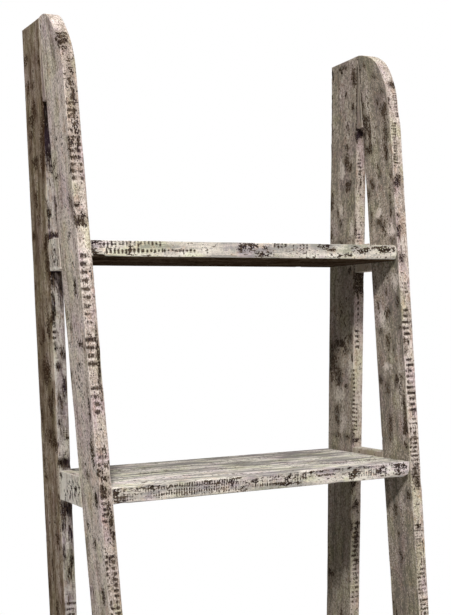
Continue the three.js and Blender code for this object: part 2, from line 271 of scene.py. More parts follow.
        (50, 4, 40, 1.6, 0.77), (150, 7, 40, 2.6, 0.51), (205, 9, 4, 6, 0.85), (242, 10, 9, 4, 0.59),
        (230, 19, 6, 3, 0.94), (4, 12, 4, 11, 1.1), (66, 7, 5, 5, 0.77), (300, 19, 20, 2.2, 0.85),
        (313, 8, 4, 6, 0.85), (320, 20, 30, 1.6, 0.68), (365, 3.5, 34, 1.5, 0.94), (405, 3, 9, 2.0, 0.85),
        (345, 11, 20, 1.2, 0.85), (395, 10, 30, 1, 0.77), (430, 3.5, 3, 2.5, 1.27), (440, 9, 7, 5, 0.64),
        (434, 16, 5, 4, 0.85), (460, 3, 22, 2, 0.94), (497, 10, 6, 6, 0.72), (494, 17, 5, 4, 0.59),
        (530, 7, 8, 3.5, 0.81), (545, 7, 3, 5, 1.1), (526, 14, 5, 3, 1.02), (536, 20, 8, 3, 0.68),
        (513, 10, 8, 10, -1.2), (470, 12, 18, 6, -0.6), (90, 18, 14, 4, -0.6), (110, 14, 14, 5, -0.6),
        (350, 17, 26, 4, -0.5),
    ],
    ("shelf_2", "face"): [
        (150, 120, 60, 5, 0.3), (120, 178, 50, 6, 0.32), (440, 95, 60, 6, 0.3), (500, 60, 40, 8, 0.3),
        (300, 150, 50, 4, 0.25), (120, 150, 18, 12, -0.9), (60, 205, 22, 9, -1.0), (200, 150, 20, 8, -0.8),
        (170, 200, 26, 7, -1.0), (330, 130, 26, 12, -0.8), (440, 160, 18, 10, -1.0), (400, 218, 40, 6, -1.2),
        (250, 225, 40, 6, -1.1), (520, 120, 14, 16, -0.9), (240, 100, 12, 8, 0.55), (110, 125, 14, 6, 0.6),
        (380, 145, 12, 6, 0.5), (40, 212, 8, 5, 0.8), (430, 60, 30, 12, 0.35), (500, 205, 12, 6, 0.5),
        (180, 232, 8, 4, 0.7),
    ],
}

SAW_MARKS = {
    "left_front_post": [
        (1553, 1567, 9.3, 11, 17, 0.8), (1524, 1546, 9.8, 0, 18, 0.75), (1438, 1512, 9.6, 0, 7, 1.0),
        (1438, 1512, 9.6, 6, 13, 0.45), (1438, 1512, 9.6, 12.5, 19, 1.05), (1372, 1390, 6.0, 0, 17, 0.9),
        (1268, 1330, 12.0, 0, 17, 1.1), (1232, 1260, 12.0, 2, 16, 0.6), (1172, 1210, 12.0, 0, 17, 1.2),
        (1102, 1142, 11.5, 0, 17, 0.8), (1024, 1048, 10.8, 0, 18, 0.8), (940, 992, 9.0, 0, 14, 0.75),
        (800, 892, 8.7, 0, 6, 1.0), (800, 892, 8.7, 7.5, 19, 1.25), (690, 796, 8.8, 0, 20, 1.0),
        (520, 640, 9.0, 2, 20, 0.9), (330, 430, 10.5, 0, 21, 0.7), (90, 215, 8.4, 0, 22, 0.9),
    ],
    "right_front_post": [
        (1486, 1552, 4.6, 9, 20, 1.05), (1562, 1604, 5.2, 2, 9, 0.8), (1274, 1296, 7.5, 3, 20, 0.7),
        (1204, 1246, 9.8, 1, 22, 0.95), (1076, 1170, 9.4, 2, 20, 1.3), (1030, 1072, 7.6, 2, 20, 0.6),
        (976, 1028, 7.2, 0, 22, 1.0), (940, 975, 5.4, 0, 22, 0.85), (850, 884, 4.9, 4, 22, 0.8),
        (760, 846, 7.0, 1, 22, 0.55), (560, 750, 8.2, 1, 21, 0.8), (380, 470, 9.6, 0, 22, 0.7),
        (120, 300, 8.8, 1, 20, 0.95),
    ],
    "right_rear_post": [
        (1480, 1508, 6.2, 8, 20, 0.75), (1366, 1380, 6.0, 4, 22, 0.8), (1229, 1276, 10.0, 9, 15, 0.9),
        (1181, 1214, 9.3, 7, 20, 1.15), (1030, 1138, 7.7, 16, 23, 1.1), (1030, 1080, 7.7, 10, 17, 0.7),
        (700, 860, 9.0, 2, 20, 0.8), (420, 560, 8.0, 0, 14, 0.8), (150, 260, 9.4, 2, 22, 0.8),
    ],
    "left_rear_post": [
        (1200, 1236, 9.0, 0, 8, 0.8), (640, 780, 9.4, 2, 22, 0.8), (300, 460, 8.6, 2, 18, 0.8),
    ],
    "shelf_1": [
        (2, 80, 6.2, 1, 10, 1.5), (24, 82, 6.4, 11, 20, 1.35), (80, 116, 6.4, 1, 8, 0.95),
        (84, 120, 6.3, 11, 19, 1.4), (120, 176, 6.3, 11, 18, 1.3), (314, 338, 7.0, 0, 8, 1.2),
        (350, 378, 6.3, 1, 10, 1.0), (336, 378, 6.3, 11, 16, 0.9), (446, 464, 5.5, 13, 18, 0.9),
    ],
    "shelf_2": [
        (20, 300, 4.4, 4, 24, 0.7), (96, 215, 4.4, 2, 10, 1.15), (2, 20, 5.4, 1, 25, 0.85),
        (276, 345, 5.2, 2, 24, 0.8), (440, 508, 5.0, 2, 22, 0.6),
    ],
    "shelf_3": [(20, 160, 5.8, 2, 14, 0.9), (190, 330, 6.4, 8, 22, 0.8), (400, 540, 5.2, 2, 20, 0.7)],
    "shelf_4": [(40, 250, 5.0, 3, 22, 0.7), (300, 350, 6.6, 1, 12, 0.9), (430, 550, 6.0, 6, 22, 0.8)],
}

# Chips out of a board's long arrises: arris, place along the grain, half length, depth
CHIPS = {
    "shelf_1": [
        ("lower front", 12, 9, 9), ("lower front", 290, 330, 4.0), ("lower front", 470, 140, 1.2),
        ("upper front", 552, 5, 3),
    ],
    "shelf_2": [("upper front", 2, 6, 3), ("lower front", 552, 6, 4), ("upper front", 350, 18, 1.5)],
    "left_front_post": [
        ("upper front", 1384, 8, 3), ("lower front", 1160, 26, 2), ("upper front", 972, 10, 3),
        ("lower front", 1010, 12, 2.5),
    ],
    "right_front_post": [
        ("lower front", 1372, 9, 2.5), ("upper front", 957, 12, 2), ("lower front", 1262, 8, 2),
        ("lower front", 1121, 6, 2),
    ],
    "right_rear_post": [("lower rear", 1505, 30, 2), ("lower front", 1198, 8, 2)],
    "left_rear_post": [
        ("upper front", 1562, 10, 3), ("upper front", 1310, 7, 2.5), ("upper rear", 1080, 14, 2),
    ],
}
ARRISES = {"upper front": (0, 0), "lower front": (0, 1), "upper rear": (1, 0), "lower rear": (1, 1)}


def smooth_step(low, high, value):
    """Zero below low, one above high, and three t squared less two t cubed between them."""
    t = np.clip((value - low) / (high - low), 0, 1)
    return t * t * (3 - 2 * t)


NOISE_PRIMES = (0x9E3779B97F4A7C15, 0xC2B2AE3D27D4EB4F, 0x165667B19E3779F9)
SEED_PRIME = 2654435761


def noise(seed, *places):
    """Value noise from zero to one: whole-number places get random numbers, blended by smooth steps between.

    The random number is the top 24 of 64 bits, mixed from the seed and the place by multiplying with primes.
    """
    places = np.broadcast_arrays(*places)
    cells = [np.floor(place).astype(np.int64) for place in places]
    shares = [smooth_step(0, 1, place - cell) for place, cell in zip(places, cells)]
    total = np.zeros(places[0].shape)
    for bits in itertools.product((0, 1), repeat=len(places)):
        mixed = np.full(total.shape, seed * SEED_PRIME + 1, np.uint64)
        weight = np.ones(total.shape)
        for cell, share, bit, prime in zip(cells, shares, bits, NOISE_PRIMES):
            mixed = (mixed ^ (cell + bit).astype(np.uint64)) * np.uint64(prime)
            mixed ^= mixed >> np.uint64(31)
            weight *= share if bit else 1 - share
        total += weight * (mixed >> np.uint64(64 - 24)).astype(float) / 2.0 ** 24
    return total


def layered(seed, octaves, *places):
    """Noise over several octaves, each twice as fine and half as strong as the last, from zero to one."""
    total = sum(noise(seed + k, *(place * 2.0 ** k for place in places)) * 0.5 ** k for k in range(octaves))
    return total / (2 - 0.5 ** (octaves - 1))


def box_grid(counts):
    """The surface of a block of cells, as lattice places (i, j, k) and quads that face outwards.

    Each of the six sides is a grid of cells. Lattice places that sides share are found once by their codes.
    """
    shape = tuple(n + 1 for n in counts)
    sides = []
    for axis in range(3):
        across, up = (axis + 1) % 3, (axis + 2) % 3
        u, v = np.meshgrid(np.arange(counts[across]), np.arange(counts[up]), indexing="ij")
        for end in (0, 1):
            corners = np.zeros(u.shape + (4, 3), int)
            corners[..., axis] = end * counts[axis]
            turn = ((0, 0), (1, 0), (1, 1), (0, 1)) if end else ((0, 0), (0, 1), (1, 1), (1, 0))
            for c, (du, dv) in enumerate(turn):
                corners[..., c, across] = u + du
                corners[..., c, up] = v + dv
            sides.append(corners.reshape(-1, 3))
    codes = np.ravel_multi_index(np.concatenate(sides).T, shape)
    used, quads = np.unique(codes, return_inverse=True)
    return np.stack(np.unravel_index(used, shape), 1), quads.reshape(-1, 4)


def spread(size, step):
    """Places across a board: close together at both arrises, and about a step apart between them."""
    ends = ARRIS_STEPS * min(1, size / FULL_SIZE)
    middle = np.linspace(ends[-1], size - ends[-1], max(2, int(round((size - 2 * ends[-1]) / step)) + 1))
    return np.concatenate([ends[:-1], middle, (size - ends[:-1])[::-1]])


def stations(length, step, marks):
    """Places along a board: even steps, with extra ones on and beside each saw mark."""
    even = spread(length, step)
    extra = np.concatenate([marks, marks - MARK_SIDE, marks + MARK_SIDE])
    extra = extra[(extra > END_CLEAR) & (extra < length - END_CLEAR)]
    free = even[np.abs(even[:, None] - extra).min(1, initial=length) > MARK_CLEAR]
    keep = np.sort(np.concatenate([np.unique(np.concatenate([[0, length], free])), extra]))
    keep = keep[np.diff(keep, prepend=-1) > LEAST_GAP]
    keep[-1] = length
    return keep


class Board:
    """One board in its own directions: length along the grain, width and thickness, in millimetres.

    place turns those three into the row frame. The face is at thickness zero and the reverse opposite it; the
    front edge is at width zero and the rear edge opposite it. step is how far apart points stand in each
    direction, and upright turns the figure of the wood across the board.
    """

    def __init__(self, name, size, place, slot, step=(3.4, 4.0, 3.2), upright=False):
        self.name = name
        self.size = np.array(size, float)
        self.place = place
        self.slot = slot
        self.step = step
        self.figure_axes = (0, 2, 1) if upright else (1, 2, 0)
        self.seed = sum(ord(c) * (k + 7) for k, c in enumerate(name)) % 9973
        self.random = np.random.default_rng(self.seed)

    def random_patches(self):
        """Patches on every side, most of them small, and each long along the grain. The longest are pale."""
        length, width, thick = self.size
        rows = {}
        for side, across in {"face": width, "reverse": width, "front": thick, "rear": thick}.items():
            wide = side in ("face", "reverse")
            number = int(length * across / FACE_PER_PATCH if wide else length / EDGE_PER_PATCH)
            along, over, long, broad, strong = self.random.random((number, 5)).T
            half_width = 2 + 9 * broad ** 2 if wide else 1.5 + 7 * broad
            sign = np.where(long + broad > 1.35, -0.8, 1)
            rows[side] = np.stack([along * length, over * across, 5 + 22 * long ** 2, half_width,
                                   (0.45 + 0.7 * strong) * sign], 1)
        return rows

    def patches(self, seen_above):
        """The patches listed for this board, and random ones where the list leaves sides or heights out."""
        found = {}
        for side, rows in self.random_patches().items():
            listed = PATCHES.get((self.name, side))
            kept = [row for row in rows if listed is None or row[0] < seen_above]
            found[side] = kept + (listed or [])
        return found

    def marks(self):
        """Saw marks across the front edge, each a little off its place: place, reach, strength, and pitch."""
        found = [np.zeros((0, 5))]
        for start, stop, pitch, low, high, strength in SAW_MARKS.get(self.name, []):
            places = np.arange(start, stop, pitch)
            drift, trim_low, trim_high, vigour = self.random.random((len(places), 4)).T
            wander = np.cumsum(drift - 0.5) * pitch * MARK_WANDER
            trim = (high - low) * MARK_TRIM
            found.append(np.stack([places + wander, low + trim_low * trim, high - trim_high * trim,
                                   strength * (0.7 + 0.5 * vigour), np.full(len(places), pitch)], 1))
        return np.concatenate(found)


def wear_of(board, local, patches):
    """How worn each point is, and how thick its paint is.

    A patch adds its strength times e to minus the squared distances over its half sizes, and counts up to
    PATCH_REACH half lengths away. The distance through the board counts too, so a patch near an arris runs on
    over it. Noise moves the point first, so no patch is oval.
    """
    # The worn values also carry painted shade from the listed shade patches.
    order = np.argsort(local[:, 0], kind="stable")
    length, width, thick = local[order].T
    rag_l = RAG_ALONG * (layered(board.seed + 1, 2, length / 16, width / 6, thick / 5) - 0.5)
    rag_w = RAG_ACROSS * (layered(board.seed + 2, 2, length / 12, width / 7, thick / 6) - 0.5)
    worn = np.zeros(len(local))
    pale = np.zeros(len(local))
    for side, rows in patches.items():
        for middle, across, half_length, half_width, strength in rows:
            reach = PATCH_REACH * half_length + RAG_ALONG / 2
            near = slice(*np.searchsorted(length, (middle - reach, middle + reach)))
            along = (length[near] - middle + rag_l[near]) / half_length
            if side in ("face", "reverse"):
                depth = thick[near] - (0 if side == "face" else board.size[2])
                sideways = width[near] - across + rag_w[near]
            else:
                depth = width[near] - (0 if side == "front" else board.size[1])
                sideways = thick[near] - across + rag_w[near] * 0.5
            value = np.exp(-along ** 2 - (sideways / half_width) ** 2 - (depth / PATCH_THROUGH) ** 2)
            (worn if strength > 0 else pale)[order[near]] += abs(strength) * value
    return worn, pale


def saw_rows(board, local, marks):
    """How far each point of the front edge is from its nearest saw mark, and how strong that mark is there.

    A mark counts between its two ends across the edge, and fades out round the arris. Of those that count, a
    point takes the one with the greatest strength times e to minus the squared distance over KERF_REACH.
    The distance is given as if the marks stood USUAL_PITCH apart, so that fine rows have fine marks.
    """
    far = np.full(len(local), NO_MARK)
    strong = np.zeros(len(local))
    on_edge = np.flatnonzero(local[:, 1] < EDGE_DEPTH)
    l, w, t = local[on_edge].T
    best = np.zeros(len(on_edge))
    for place, low, high, strength, pitch in marks:
        near = np.flatnonzero(np.abs(l - place) < NO_MARK)
        window = smooth_step(low - 1.5, low + 1, t[near]) * smooth_step(high + 1.5, high - 1, t[near])
        window *= smooth_step(3, 0.8, w[near])
        gap = np.abs(l[near] - place) * np.clip(USUAL_PITCH / pitch, 0.8, 2)
        score = strength * window * np.exp(-(gap / KERF_REACH) ** 2)
        wins = score > best[near]
        best[near[wins]] = score[wins]
        far[on_edge[near[wins]]] = gap[wins]
        strong[on_edge[near[wins]]] = (strength * window)[wins]
    return far, strong


def eased(board, local):
    """Points with the board's twelve edges rounded, and the outward direction at each.

    A point is pulled to the block that is smaller by the radius, then set back out by the radius along that
    same direction. The radius wanders along each arris and grows where a chip is.
    """
    size = board.size
    wander = noise(board.seed + 11, local[:, 0] / 34, local[:, 1] / 30, local[:, 2] / 12)
    radius = ARRIS_RADIUS + ARRIS_WANDER * wander ** 2
    for arris, place, half_length, depth in CHIPS.get(board.name, []):
        rear, under = ARRISES[arris]
        far = np.hypot(local[:, 1] - rear * size[1], local[:, 2] - under * size[2])
        rag = 3 * (noise(board.seed + 12, local[:, 0] / 3, local[:, 2] / 4) - 0.5)
        along = (local[:, 0] - place + rag) / half_length
        radius += depth * np.exp(-along ** 4) * (far < depth * 1.6 + 2)
    radius = np.minimum(radius, size.min() * 0.42)[:, None]
    core = np.clip(local, radius, size - radius)
    out = local - core
    reach = np.linalg.norm(out, axis=1, keepdims=True)
    direction = out / np.maximum(reach, 1e-9)
    return core + direction * np.minimum(radius, reach), direction


def hollow(board, local, worn, saw, sawn):
    """How far each point lies below the sawn face: broad waves, ridges along the grain, patches, marks."""
    length, width, thick = local.T
    wear = bpy.context.scene.bookcase_wear
    waves = layered(board.seed + 21, 2, length / 150, width / 60, thick / 60)
    ridges = noise(board.seed + 22, length / 60, width / 5, thick / 4)
    rough = layered(board.seed + 23, 2, length / 7, width / 5, thick / 4)
    worn_in = smooth_step(0.35, 0.75, worn) * (0.4 + 0.9 * rough)
    kerfs = np.exp(-(saw / KERF_WIDTH) ** 2) * sawn * (0.4 + 0.9 * rough)
    depth = wear.waviness * waves + wear.ridge * (1 - ridges) + wear.patch_depth * worn_in
    return (depth + wear.saw_depth * kerfs) / MM


def write_mesh(name, points, quads, attributes):
    """A smooth-shaded mesh object from whole arrays, with its values kept as attributes of the points."""
    mesh = bpy.data.meshes.new(name)
    mesh.vertices.add(len(points))
    mesh.vertices.foreach_set("co", points.astype(np.float32).ravel())
    mesh.loops.add(quads.size)
    mesh.loops.foreach_set("vertex_index", quads.astype(np.int32).ravel())
    mesh.polygons.add(len(quads))
    mesh.polygons.foreach_set("loop_start", np.arange(0, quads.size, quads.shape[1], dtype=np.int32))
    mesh.polygons.foreach_set("use_smooth", np.ones(len(quads), bool))
    mesh.update(calc_edges=True)
    for key, values in attributes.items():
        if values.ndim == 2:
            layer = mesh.attributes.new(key, "FLOAT_VECTOR", "POINT")
            layer.data.foreach_set("vector", values.astype(np.float32).ravel())
        else:
            layer = mesh.attributes.new(key, "FLOAT", "POINT")
            layer.data.foreach_set("value", values.astype(np.float32))
    mesh.validate()
    piece = bpy.data.objects.new(name, mesh)
    bpy.context.scene.collection.objects.link(piece)
    return piece


def make_board(board, material, seen_above=0, second=None):
    """The board's surface: a block of cells, its edges eased, its faces worn hollow, then put in its place.

    second is the name of one of the board's values and the material of the quads where it is above a half.
    """
    marks = board.marks()
    spacing = [stations(board.size[0], board.step[0], marks[:, 0]), spread(board.size[1], board.step[1]),
               spread(board.size[2], board.step[2])]
    lattice, quads = box_grid([len(s) - 1 for s in spacing])
    flat = np.stack([s[lattice[:, k]] for k, s in enumerate(spacing)], 1)
    worn, pale = wear_of(board, flat, board.patches(seen_above))
    saw, sawn = saw_rows(board, flat, marks)
    local, outward = eased(board, flat)
    local = local - outward * hollow(board, flat, worn, saw, sawn)[:, None]
    local = np.clip(local, 0, board.size)
    points = board.place(local)

    middle = board.size / 2
    steps = board.place(middle + np.eye(3)) - board.place(np.array([middle]))
    if np.linalg.det(steps) < 0:
        quads = quads[:, ::-1]

    own_place = np.array([board.seed * (37 + 11 * axis) % 4999 for axis in range(3)])
    values = {
        "grain": (flat[:, board.figure_axes] + own_place) * MM,
        "worn": worn,
        "pale": pale,
        "saw": saw,
        "sawn": sawn,
        "edge": smooth_step(0.75, 0.98, np.abs(outward[:, 1])),
        "reverse": smooth_step(0.25, 0.65, outward[:, 2]),
        "arris": smooth_step(0, 0.3, 1 - np.abs(outward).max(1)),
    }
    piece = write_mesh(board.name + "_board", points * MM, quads, values)
    piece.data.materials.append(material)
    if second:
        key, other = second
        piece.data.materials.append(other)
        piece.data.polygons.foreach_set("material_index", (values[key][quads].mean(1) > 0.5).astype(np.int32))
    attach(piece, "root")
    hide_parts(board.name)


class Value:
    """A number or a colour on a shader socket. Arithmetic on it adds Math nodes."""

    def __init__(self, shade, socket):
        self.shade = shade
        self.socket = socket

    def math(self, operation, *others, clamp=False):
        return self.shade.add("ShaderNodeMath", {"operation": operation, "use_clamp": clamp},
                              dict(enumerate((self,) + others)))

    def __add__(self, other):
        return self.math("ADD", other)

    def __sub__(self, other):
        return self.math("SUBTRACT", other)

    def __mul__(self, other):
        return self.math("MULTIPLY", other)

    def __rsub__(self, other):
        return self.shade.add("ShaderNodeMath", {"operation": "SUBTRACT"}, {0: other, 1: self})

    def __abs__(self):
        return self.math("ABSOLUTE")

    __radd__ = __add__
    __rmul__ = __mul__

    def clamped(self):
        """Held between zero and one."""
        return self.math("ADD", 0.0, clamp=True)

    def between(self, low, high):
        """A smooth step from zero at low to one at high."""
        settings = {"interpolation_type": "SMOOTHSTEP"}
        step = self.shade.add("ShaderNodeMapRange", settings,
                              {"Value": self, "From Min": min(low, high), "From Max": max(low, high)})
        return 1 - step if high < low else step


# Noise keeps close to a half; times this, it fills the range from minus one to one
CONTRAST = 11


class Shade:
    """The nodes of a material or a world. One method adds any node: its settings first, then its sockets."""

    def __init__(self, owner):
        self.owner = owner
        owner.use_nodes = True
        self.tree = owner.node_tree
        self.tree.nodes.clear()

    def add(self, kind, settings=None, sockets=None, out=0):
        node = self.tree.nodes.new(kind)
        for key, value in (settings or {}).items():
            setattr(node, key, value)
        for key, value in (sockets or {}).items():
            socket = node.inputs[key]
            if isinstance(value, Value):
                self.tree.links.new(value.socket, socket)
            elif socket.type == "RGBA":
                socket.default_value = tuple(value) + (1.0,)
            else:
                socket.default_value = value
        return Value(self, node.outputs[out]) if len(node.outputs) else None

    def kept(self, key):
        """A number that the mesh keeps at its points."""
        return self.add("ShaderNodeAttribute", {"attribute_name": key}, out="Fac")

    def mix(self, low, high, share, blend="MIX"):
        """Low turning into high as share goes from zero to one."""
        return self.add("ShaderNodeMix", {"data_type": "RGBA", "blend_type": blend, "clamp_factor": True},
                        {0: share, 6: low, 7: high}, out=2)

    def figure(self, vector, across, along, detail=3.0, rough=0.55, shift=0.0):
        """Noise from about minus one to one, its features given across and along the grain in millimetres.

        detail and rough are the noise's octaves and their strength, and shift moves it to a place of its own.
        """
        factors = (1 / (across * MM), 1 / (across * MM), 1 / (along * MM))
        moved = self.add("ShaderNodeVectorMath", {"operation": "MULTIPLY_ADD"},
                         {0: vector, 1: factors, 2: (shift, shift * 1.7, shift * 0.6)})
        raw = self.add("ShaderNodeTexNoise", {"noise_dimensions": "3D"},
                       {"Vector": moved, "Scale": 1.0, "Detail": detail, "Roughness": rough})
        return raw * CONTRAST - CONTRAST / 2

    def finish(self, colour, roughness, height, distance, metallic=0.0, specular=0.5):
        """The material's surface: distance in metres is how far a height of one rises."""
        bump = self.add("ShaderNodeBump", {}, {"Height": height, "Distance": distance})
        self.output(self.add("ShaderNodeBsdfPrincipled", {}, {
            "Base Color": colour, "Roughness": roughness, "Metallic": metallic,
            "Specular IOR Level": specular, "Normal": bump}))
        return self.owner

    def output(self, shader, kind="ShaderNodeOutputMaterial"):
        self.add(kind, {}, {"Surface": shader})


def painted_board(name, washes, cover=0.5, edge_paint_and_light=0.25, wear=0.0, reverse_thin_and_shade=0.0, along=0.0,
                  blotches=0.3, grit=0.0, bare=("walnut", "stain_purple")):
    """Whitewash over dark stain on rough-sawn wood.

    How thick the paint lies is a start, cover, plus noise drawn out along the grain, from fibres to patches.
    It sets the colour from thin wash to thick paint. Edges get edge_paint_and_light more of it and the
    reverse has reverse_thin_and_shade less. These two are set so that each side's brightness suits how light
    falls on it, so they paint light and shade on the edges and the reverse as well as thicker and thinner
    paint. blotches and grit are the weights of the broadest and the finest noise. Where worn patches, wear
    and ragged noise together pass a threshold, the paint turns to faded wood and then to the bare stain; the
    strongest listed patches paint shade this way. along, from zero to one, draws that noise out along the
    grain. A saw mark is stain within a millimetre or two of its line. washes and bare name the colours from
    thin to thick, and of the stain.
    """
    colours = bpy.context.scene.bookcase_colours
    thin, middle, thick, dark_stain, other_stain = (getattr(colours, key) for key in washes + bare)
    shade = Shade(bpy.data.materials.new(name))
    grain = shade.add("ShaderNodeAttribute", {"attribute_name": "grain"}, out="Vector")
    worn, pale, saw, sawn = (shade.kept(key) for key in ("worn", "pale", "saw", "sawn"))
    edge, reverse, arris = (shade.kept(key) for key in ("edge", "reverse", "arris"))

    fibres = shade.figure(grain, 1.2, 20, 2)
    streaks = shade.figure(grain, 3.6, 60, 4, 0.65, 3.1)
    bands = shade.figure(grain, 12, 200, 3, 0.5, 7.7)
    clouds = shade.figure(grain, 14, 26, 5, 0.68, 12.3)
    crumbs = shade.figure(grain, 3.2, 5.5, 3, 0.7, 21.9)
    sawn_across = shade.figure(grain, 24, 1.9, 3, 0.6, 55.5)
    patchy = shade.figure(grain, 18, 130, 4, 0.6, 61.2)
    tints = shade.figure(grain, 34, 60, 3, 0.6, 31.3)
    dashes = shade.figure(grain, 4.5, 3.5, 2, 0.6, 71.8)
    specks = shade.figure(grain, 2.2, 2.8, 1, 0.5, 93.1)
    blush = shade.figure(grain, 16, 26, 3, 0.6, 81.5)
    seam = abs(shade.figure(grain, 16, 420, 2, 0.5, 44.4))
    across = sawn_across * (0.045 + edge * 0.12)

    # How thick the paint lies; its edge and reverse terms also paint light and shade on those sides
    laid = cover + fibres * 0.18 + streaks * 0.18 + bands * 0.1 + clouds * 0.25 + crumbs * 0.26
    laid = laid + patchy * (blotches * (1 - edge * 0.7)) + across + pale * 0.5 + edge * edge_paint_and_light
    laid = laid - reverse * reverse_thin_and_shade + sawn * saw.between(2.4, 4.0) * 0.4 + specks * grit + crumbs * grit
    paint = shade.mix(thin, middle, laid.between(-0.5, 0.7))
    paint = shade.mix(paint, thick, laid.between(0.4, 1.4))

    # Casts in the paint, and the palest paint over them
    tinted = 0.75 + edge * 0.25
    for tint, share in (
        (colours.lavender_tint, tints.between(0.2, 1.6) * tinted),
        (colours.olive_tint, tints.between(-0.2, -1.6) * tinted),
        (colours.rosy_tint, blush.between(0.7, 1.8) * tinted),
        (colours.inner_tint, reverse * 0.65),
    ):
        paint = shade.mix(paint, tint, share, "MULTIPLY")
    paint = shade.mix(paint, thick, (pale + crumbs * 0.3).between(0.4, 1.0) * 0.6)

    # Where the paint is faded, and where it is gone; the strong listed shade patches paint their shade here
    # too
    short = 1 - along
    ragged = clouds * 0.2 + crumbs * (0.06 + 0.26 * short) + fibres * (0.06 + 0.22 * along)
    ragged = ragged + across * 0.7 + patchy * 0.12 + streaks * (0.08 + 0.2 * along)
    uneven = 1.25 + specks * (0.1 + 0.4 * short) + crumbs * 0.25 * short + fibres * 0.5 * along
    strength = worn * uneven + wear + ragged
    faded = strength.between(0.2, 0.6)
    gone = strength.between(0.46, 0.68)

    # Saw marks, broken up by noise, and cracks along the grain
    swell = streaks * 0.7 + dashes * 0.4 + sawn * 0.7 - 0.6
    broken = (sawn * 0.85 + streaks * 0.5 + dashes * 0.25 + crumbs * 0.1).between(0.3, 0.7)
    chattered = (saw - swell).between(2.2, 0.9) * broken
    smudged = (saw - swell).between(3.8, 1.4) * broken
    cracks = seam.between(0.06, 0.02) * (bands + clouds).between(-0.1, 0.4) * (1 - edge)
    dark = gone.math("MAXIMUM", chattered * 0.94).math("MAXIMUM", cracks * 0.8)

    # Stain, wood rubbed back to it, paint with its pores, and pale arrises that are partly painted highlight
    stain = shade.mix(dark_stain, other_stain, (tints + fibres).between(-0.3, 0.5) * (0.25 + edge * 0.75))
    # Past a strength of 1.3 the stain shows unrubbed and darkest; the strongest such patches are painted
    # shade
    rubbed_back = fibres + streaks + crumbs + reverse * 0.9 - (worn - 1.3).clamped() * 3.5
    rubbed = shade.mix(stain, colours.rubbed_wood, rubbed_back.between(0.2, 2.2))
    pores = (fibres * 0.6 + crumbs * 0.6 + across * 2).between(0.2, 1.6) * 0.3
    dulled = (faded.math("MAXIMUM", smudged * 0.7) * 0.55).math("MAXIMUM", pores)
    colour = shade.mix(paint, colours.rubbed_wood, dulled)
    # Rounded arrises turn to thick paint: partly paint, and partly a painted highlight along each edge
    colour = shade.mix(colour, thick, arris * (0.45 + streaks * 0.6).clamped())
    colour = shade.mix(colour, rubbed, dark)
    height = (1 - dark) * 0.5 + fibres * 0.14 + streaks * 0.1 + crumbs * 0.16 + across * 1.2
    roughness = 0.85 - dark * 0.1 + fibres * 0.03
    return shade.finish(colour, roughness, height, 0.0004, specular=0.0)


def depth_property(name, description, default, most):
    """A depth in the panel, in metres, from none to the most that looks right."""
    return FloatProperty(name=name, description=description, default=default, min=0, max=most,
                         unit="LENGTH", precision=5)


def power_property(name, description, default):
    """A lamp's power in the panel, in watts."""
    return FloatProperty(name=name, description=description, default=default, min=0, unit="POWER")


class BookcaseWear(bpy.types.PropertyGroup):
    """Sizes of the wear that is modelled in the boards' surfaces."""

    waviness: depth_property("Waviness", "Depth of the broad waves of a sawn face", 0.0005, 0.002)
    ridge: depth_property("Grain ridges", "Depth of the ridges that run along the grain", 0.0002, 0.001)
    patch_depth: depth_property("Worn patches", "Depth of patches worn through the paint", 0.0007, 0.003)
    saw_depth: depth_property("Saw marks", "Depth of the saw marks across the edges", 0.0008, 0.003)


def colour_property(name, description, default):
    """A colour in the panel, each channel from zero to one."""
    return FloatVectorProperty(name=name, description=description, default=default, subtype="COLOR",
                               min=0, max=1)


